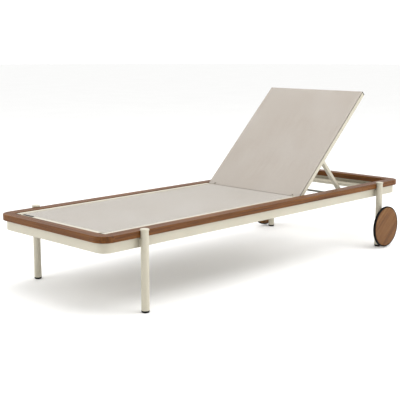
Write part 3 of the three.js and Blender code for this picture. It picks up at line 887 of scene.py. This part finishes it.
def seat_sag_at(x, y):
    """How far the sheet hangs between the tubes, deepest along its middle."""
    ends = rise((x - seat_open[0]) / SAG_RUN) * rise((seat_open[1] - x) / SAG_RUN)
    return SEAT_SAG * ends * max(0.0, 1 - (y / (seat_low.y - SAG_MARGIN)) ** 2)


seat_sheet = stretched_sheet(seat_path, seat_half_at, seat_sag_at)
seat_cloth = piece("seat_cloth", seat_sheet, SEAT_MESH, nodes=["seat_sling"], crease=60)
stitches = bmesh.new()
for inset in FOOT_HEM_ROWS:
    x = sling_low.x + inset
    stitch_row(stitches, (x, STITCH_INSET - seat_half, seat_top), (x, seat_half - STITCH_INSET, seat_top))
for hand in (-1, 1):
    for inset in SEAT_EDGE_ROWS:
        y = hand * (seat_half - inset)
        stitch_row(stitches, (sling_low.x + SEAT_ROW_ENDS[0], y, seat_top),
                   (sling_high.x - SEAT_ROW_ENDS[1], y, seat_top))
seat_stitching = piece("seat_stitching", stitches, THREAD)


# Hinges. Laser-cut aluminium plates welded to the inner faces of the seat tubes, and stainless shoulder pins
# that the backrest turns on. Their parts keep the CAD shape, with the arrises broken and a real finish.

JOIN_WITHIN = 0.00001
ARRIS_ANGLE = math.radians(35)
PLATE_ARRIS = 0.0006
PIN_ARRIS = 0.0004


def finished_part(node, material, arris):
    """A machined part as it is: the finish goes on, and its arrises are broken."""
    part = frame["nodes"][node]
    part.data.materials.clear()
    part.data.materials.append(material)
    part.modifiers.new("join", "WELD").merge_threshold = JOIN_WITHIN
    broken = part.modifiers.new("broken arris", "BEVEL")
    broken.width = arris
    broken.segments = 2
    broken.limit_method = "ANGLE"
    broken.angle_limit = ARRIS_ANGLE
    broken.harden_normals = False
    part.data.shade_smooth()
    part.modifiers.new("even shading", "WEIGHTED_NORMAL").keep_sharp = True


for side, _ in SIDES:
    finished_part(f"hinge_plate_{side}", FRAME_WHITE, PLATE_ARRIS)
    finished_part(f"hinge_pin_{side}", STEEL, PIN_ARRIS)


# Backrest tubes. Plain rectangular tube with a rounded lower end at the hinge, rebated along its front outer
# corner for the sling's welded edge. Two tubes join them, low down and at the top, and dark plugs close the
# top ends. All of it is laid out flat about the hinge, along the slope and square to it, and then tipped up.

RECLINE = math.radians(43.76)
BACK_HALF = 0.0125
BACK_FRONT = 0.0102
REBATE = 0.0036
BACK_LENGTH = 0.6813
BACK_PLUG = 0.005
BACK_ARRIS = 0.0009
PLUG_ROUND = 0.0018
LOW_TUBE = (0.0135, 0.0335)
TOP_TUBE = (0.6543, 0.6790)
FIT = 0.0003
back_in_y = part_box("back_tube_right")[0].y
back_out_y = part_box("back_tube_right")[1].y
back_end = BACK_LENGTH - BACK_PLUG - FIT
recline = Matrix.Translation(pivot_of("backrest_hinge")) @ Matrix.Rotation(-RECLINE, 4, "Y")


def back_outline(top):
    """Side view of the tube: a half round about the hinge, cut level with the front face."""
    half_round = []
    for k in range(17):
        angle = math.pi / 2 + math.pi * k / 16
        half_round.append((BACK_HALF * math.cos(angle), min(top, BACK_HALF * math.sin(angle))))
    return [(back_end, top)] + half_round + [(back_end, -BACK_HALF)]


def back_tube(hand):
    """Rings from the inner face to the outer face, stepped down at the rebate."""
    bm = bmesh.new()
    rings = []
    for y, top in ((back_in_y, BACK_FRONT), (back_out_y - REBATE, BACK_FRONT),
                   (back_out_y - REBATE, BACK_FRONT - REBATE), (back_out_y, BACK_FRONT - REBATE)):
        rings.append([bm.verts.new((s, hand * y, n)) for s, n in back_outline(top)])
    skin(bm, rings)
    bmesh.ops.remove_doubles(bm, verts=bm.verts, dist=0.000001)
    bmesh.ops.recalc_face_normals(bm, faces=bm.faces)
    arrises = [e for e in bm.edges if e.is_manifold and e.calc_face_angle(0.0) > math.radians(30)
               and not all(v.co.x > back_end - 1e-5 for v in e.verts)]
    bmesh.ops.bevel(bm, geom=arrises, offset=BACK_ARRIS, segments=3, profile=0.5, affect="EDGES",
                    clamp_overlap=True)
    return bm


for side, hand in SIDES:
    piece(f"back_side_{side}", back_tube(hand), FRAME_WHITE, "backrest",
          [f"back_tube_{side}"], recline)
    sides_y = sorted((hand * back_in_y, hand * back_out_y))
    plug = rounded(rectangle(*sides_y, -BACK_HALF, BACK_FRONT), PLUG_ROUND, steps=3)
    plug_solid = lengthwise(plug, BACK_LENGTH - BACK_PLUG, BACK_LENGTH)
    bmesh.ops.recalc_face_normals(plug_solid, faces=plug_solid.faces)
    rim = [e for e in plug_solid.edges if all(v.co.x > BACK_LENGTH - 1e-6 for v in e.verts)]
    bmesh.ops.bevel(plug_solid, geom=rim, offset=BACK_ARRIS, segments=2, profile=0.5, affect="EDGES")
    piece(f"back_plug_{side}", plug_solid, DARK_PLASTIC, "backrest",
          [f"back_end_cap_{side}"], recline)

for height, (start, stop) in (("low", LOW_TUBE), ("top", TOP_TUBE)):
    section = rounded(rectangle(start, stop, -BACK_HALF, BACK_FRONT), TUBE_CORNER)
    piece(f"back_cross_{height}", crosswise(section, FIT - back_in_y, back_in_y - FIT), FRAME_WHITE,
          "backrest", [f"back_tube_{height}"], recline)


# Backrest sling. The same mesh with the yarns up and down, over the whole front. Its long edges are welded
# round a cord in the tubes' rebates; the cord is black rubber as painted shade, for the shadow in the slot
# beside the cloth. A rolled hem with a rod in it ends it at the hinge, with a short tab outside each hinge
# plate, and it folds over the top tube to a stitched hem behind.

# The backrest's copy of the mesh is a little pinker than the seat's, and painted a little lighter as painted
# light, to make up for the lamps reaching it less.
BACK_MESH = woven_mesh("woven_mesh_back", "7b7269", "a09992", "bbb4ac")
FRONT_HALF = back_out_y - 0.0005
FOLD_HALF = back_in_y - 0.0010
HEM_HALF = 0.2460
HEM_START = 0.0009
HEM_ROLL = (0.0110, 0.0064)
FOLD_START = 0.660
FOLD_STOP = 0.645
FOLD_BEND = 0.003
SHOULDER = 0.0015
BACK_SAG = 0.005
PLATE_SLOT = 0.2545
TAB_START = 0.0022
TAB_STOP = 0.0128
TAB_TUCK = 0.0004
TAB_ROWS = 5
TAB_COLUMNS = 12
TAB_WEAVE = 0.009
HEM_ROW = 0.0105
FOLD_ROWS = (0.650, 0.6555)
BACK_EDGE_ROWS = (0.0065, 0.0105)
BACK_ROW_ENDS = (0.018, 0.672)
CORD_RADIUS = 0.0016
CORD_FIT = 0.0001
CORD_SIDES = 12
front = BACK_FRONT + CLOTH_T + 0.0004
behind = -BACK_HALF - 0.0002
back_path = rounded([HEM_ROLL, (HEM_START, HEM_ROLL[1]), (HEM_START, front), (0.0200, front),
                     (FOLD_START, front), (BACK_LENGTH - FIT, front), (BACK_LENGTH - FIT, behind),
                     (FOLD_STOP, behind)], FOLD_BEND, steps=5, closed=False)
back_stations = along(back_path, 0.0005)
front_start = min(d for p, _, d in back_stations if p.y > front - 0.0001 and p.x > HEM_ROLL[0] + 0.0006)
front_stop = max(d for p, _, d in back_stations if p.y > front - 0.0012)


def back_half_at(distance):
    """Half the width: narrow at both hems, and out to the tubes' rebates over the front."""
    shoulder = rise((distance - front_start) / SHOULDER)
    top = rise((front_stop - distance) / SHOULDER)
    hem = HEM_HALF + (FOLD_HALF - HEM_HALF) * rise((distance - 0.3) / 0.1)
    return hem + (FRONT_HALF - hem) * shoulder * top


def back_sag_at(s, y):
    """How far the sheet hangs between the tubes, deepest along its middle."""
    ends = rise((s - LOW_TUBE[1]) / SAG_RUN) * rise((TOP_TUBE[0] - s) / SAG_RUN)
    return BACK_SAG * ends * max(0.0, 1 - (y / (back_in_y - SAG_MARGIN)) ** 2)


def hinge_tab(hand):
    """Rows of cloth between a hinge plate and the sling's edge, tucked under the front where they meet it."""
    rows = []
    for k in range(TAB_ROWS + 1):
        s = TAB_START + (TAB_STOP - TAB_START) * k / TAB_ROWS
        row = []
        for j in range(TAB_COLUMNS + 1):
            y = PLATE_SLOT + (FRONT_HALF - PLATE_SLOT) * j / TAB_COLUMNS
            down = EDGE_DROP * rise((y - FRONT_HALF + EDGE_TURN) / EDGE_TURN)
            down += EDGE_DROP * rise((TAB_START + EDGE_DROP - s) / EDGE_DROP)
            down += TAB_TUCK * rise((s - TAB_STOP + 0.003) / 0.002)
            upper = (s, hand * y, front - down)
            lower = (s, hand * y, front - down - CLOTH_T)
            row.append((upper, lower, (s + TAB_WEAVE, hand * y)))
        rows.append(row)
    return rows


back_panel = stretched_sheet(back_path, back_half_at, back_sag_at, 0.003)
for hand in (-1, 1):
    cloth_panel(back_panel, hinge_tab(hand))
back_cloth = piece("back_cloth", back_panel, BACK_MESH, "backrest", ["back_sling"], recline,
                   crease=60)
stitches = bmesh.new()
stitch_row(stitches, (HEM_ROW, STITCH_INSET - HEM_HALF, front), (HEM_ROW, HEM_HALF - STITCH_INSET, front))
for s in FOLD_ROWS:
    stitch_row(stitches, (s, STITCH_INSET - FOLD_HALF, behind), (s, FOLD_HALF - STITCH_INSET, behind),
               up=(0, 0, -1))
for hand in (-1, 1):
    for inset in BACK_EDGE_ROWS:
        y = hand * (FRONT_HALF - inset)
        stitch_row(stitches, (BACK_ROW_ENDS[0], y, front), (BACK_ROW_ENDS[1], y, front))
back_stitching = piece("back_stitching", stitches, THREAD, "backrest", place=recline)
# painted shade: each rebate's cord is black rubber so that it reads as the shadow of the slot between cloth
# and tube
for side, hand in SIDES:
    cord_y = hand * (back_out_y - CORD_RADIUS - CORD_FIT)
    cord_height = BACK_FRONT - REBATE + CORD_RADIUS + CORD_FIT
    cord = []
    for k in range(CORD_SIDES):
        angle = 2 * math.pi * k / CORD_SIDES
        cord.append((cord_y + CORD_RADIUS * math.cos(angle), cord_height + CORD_RADIUS * math.sin(angle)))
    piece(f"back_spline_painted_shade_{side}", lengthwise(cord, 0.002, back_end - 0.001), RUBBER,
          "backrest", place=recline)


# Strut. Two flat arms with rounded ends, pinned to the backrest's side tubes and joined at the foot by a
# round bar, its powder coat painted a darker grey as painted shade for the shadow it lies in under the
# backrest. Plastic sleeves on the bar's ends drop into the racks.

# painted shade: the bar is given a darker grey to stand for the shadow it lies in under the backrest
BAR_PAINTED_SHADE = powder_coat("powder_coat_grey_painted_shade", "77756a", "6c6a5f")
PIVOT = (0.264, -0.003)
STRUT_FLAT = math.radians(5.4)
STRUT_RATIO = 1.953
STRUT_LENGTH = 0.292
ARM_HALF = 0.008
ARM_ARRIS = 0.0016
BAR_RADIUS = 0.0052
BAR_CHAMFER = 0.0008
SLEEVE_RADIUS = 0.0085
SLEEVE_FIT = 0.0002
SLEEVE_ROUND = 0.0012
arm_low, arm_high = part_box("strut_arm_right")
sleeve_low, sleeve_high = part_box("strut_sleeve_right")
bar_half = sleeve_high.y
at_pivot = Matrix.Translation((PIVOT[0], 0, PIVOT[1]))
propped = recline @ at_pivot @ Matrix.Rotation(STRUT_FLAT + STRUT_RATIO * RECLINE, 4, "Y")
arm = []
for centre, start in ((0.0, 90), (STRUT_LENGTH, -90)):
    for k in range(13):
        angle = math.radians(start + 180 * k / 12)
        arm.append((centre + ARM_HALF * math.cos(angle), ARM_HALF * math.sin(angle)))
for side, hand in SIDES:
    flat_bar = crosswise(arm, hand * arm_low.y, hand * arm_high.y)
    bmesh.ops.recalc_face_normals(flat_bar, faces=flat_bar.faces)
    arrises = [e for e in flat_bar.edges if e.calc_face_angle(0.0) > math.radians(45)]
    bmesh.ops.bevel(flat_bar, geom=arrises, offset=ARM_ARRIS, segments=3, profile=0.5, affect="EDGES")
    piece(f"strut_side_{side}", flat_bar, FRAME_WHITE, "strut", [f"strut_arm_{side}"],
          propped)
    bore = BAR_RADIUS + SLEEVE_FIT
    sleeve = rounded([(bore, sleeve_low.y), (SLEEVE_RADIUS, sleeve_low.y), (SLEEVE_RADIUS, bar_half),
                      (bore, bar_half)], SLEEVE_ROUND, steps=3)
    sleeve_solid = turned([(r, hand * h) for r, h in sleeve], (STRUT_LENGTH, 0), "y", 40, True)
    piece(f"strut_roller_{side}", sleeve_solid, DARK_PLASTIC, "strut",
          [f"strut_sleeve_{side}"], propped)
    finished_part(f"strut_pin_{side}", STEEL, PIN_ARRIS)
bar = [(0, -bar_half), (BAR_RADIUS - BAR_CHAMFER, -bar_half), (BAR_RADIUS, BAR_CHAMFER - bar_half),
       (BAR_RADIUS, bar_half - BAR_CHAMFER), (BAR_RADIUS - BAR_CHAMFER, bar_half), (0, bar_half)]
piece("strut_bar_round", turned(bar, (STRUT_LENGTH, 0), "y", 36), BAR_PAINTED_SHADE, "strut",
      ["strut_foot_bar"], propped)


# Racks. Two moulded strips of dark plastic, screwed inside the frame's side tubes. Each has a row of
# scallops, one for each place where the strut's foot bar stops.

RACK_ARRIS = 0.0008
for side, _ in SIDES:
    finished_part(f"rack_{side}", DARK_PLASTIC, RACK_ARRIS)


# Studio. A plain pale floor under one wide soft light overhead and two smaller ones, off the foot end and off
# the near side. The sky is white beyond the lounger and dimmer behind the camera.

FLOOR_RADIUS = 40.0
FLOOR_DROP = 0.0005
SKY_LEVEL = 1.15
ROOM_LEVEL = 0.35
ROOM_SIDE = (-0.70, -0.68, 0.05)
ROOM_SPAN = (0.1, 0.95)
AIM = Vector((0.0, 0.0, 0.3))
LIGHTS = (("key", (0.3, -0.9, 4.2), 4.5, 130.0),
          ("left", (-3.8, 1.2, 1.9), 3.0, 46.0),
          ("right", (1.8, -4.2, 1.6), 2.5, 66.0))
CAMERA_PLACE = (-2.9862, -2.8031, 1.0245)
CAMERA_TURN = (math.radians(79.88), 0.0, math.radians(-45.41))
CAMERA_LENS = 79.4


def pale_floor():
    """Smooth matt floor paint, a little uneven."""
    material = finish("pale_floor", IOR=1.3)
    mottle = noise(material, blank(material), 1.5, 2.0)
    feed(material,
         Base_Color=shades(material, mottle, [(0.3, "fbfbfa"), (0.7, "fdfdfc")]),
         Roughness=between(material, mottle, 0.85, 0.95))
    return material


ground = bmesh.new()
bmesh.ops.create_circle(ground, cap_ends=True, radius=FLOOR_RADIUS, segments=96)
floor_mesh = bpy.data.meshes.new("floor")
ground.to_mesh(floor_mesh)
ground.free()
floor_mesh.materials.append(pale_floor())
floor = bpy.data.objects.new("floor", floor_mesh)
floor.location.z = -FLOOR_DROP
bpy.context.scene.collection.objects.link(floor)

sky = bpy.data.worlds.new("studio")
sky.use_nodes = True
direction = wire(sky, "TexCoord", {}).node.outputs["Generated"]
toward_room = wire(sky, "VectorMath", {0: direction, 1: ROOM_SIDE}, operation="DOT_PRODUCT").node
dim = wire(sky, "MapRange", {0: toward_room.outputs["Value"], 1: ROOM_SPAN[0], 2: ROOM_SPAN[1],
                             3: SKY_LEVEL, 4: ROOM_LEVEL})
sky.node_tree.links.new(dim, sky.node_tree.nodes["Background"].inputs["Strength"])
sky.node_tree.nodes["Background"].inputs["Color"].default_value = (1.0, 1.0, 1.0, 1.0)
bpy.context.scene.world = sky

for name, place, size, power in LIGHTS:
    lamp = bpy.data.lights.new(name, "AREA")
    lamp.shape = "SQUARE"
    lamp.size = size
    lamp.energy = power
    light = bpy.data.objects.new(name, lamp)
    light.location = place
    light.rotation_euler = (AIM - Vector(place)).to_track_quat("-Z", "Y").to_euler()
    bpy.context.scene.collection.objects.link(light)

lens = bpy.data.cameras.new("camera")
lens.lens = CAMERA_LENS
lens.sensor_width = 36.0
lens.clip_end = 100.0
camera = bpy.data.objects.new("camera", lens)
camera.location = CAMERA_PLACE
camera.rotation_euler = CAMERA_TURN
bpy.context.scene.collection.objects.link(camera)
bpy.context.scene.camera = camera
bpy.context.scene.view_settings.view_transform = "Standard"
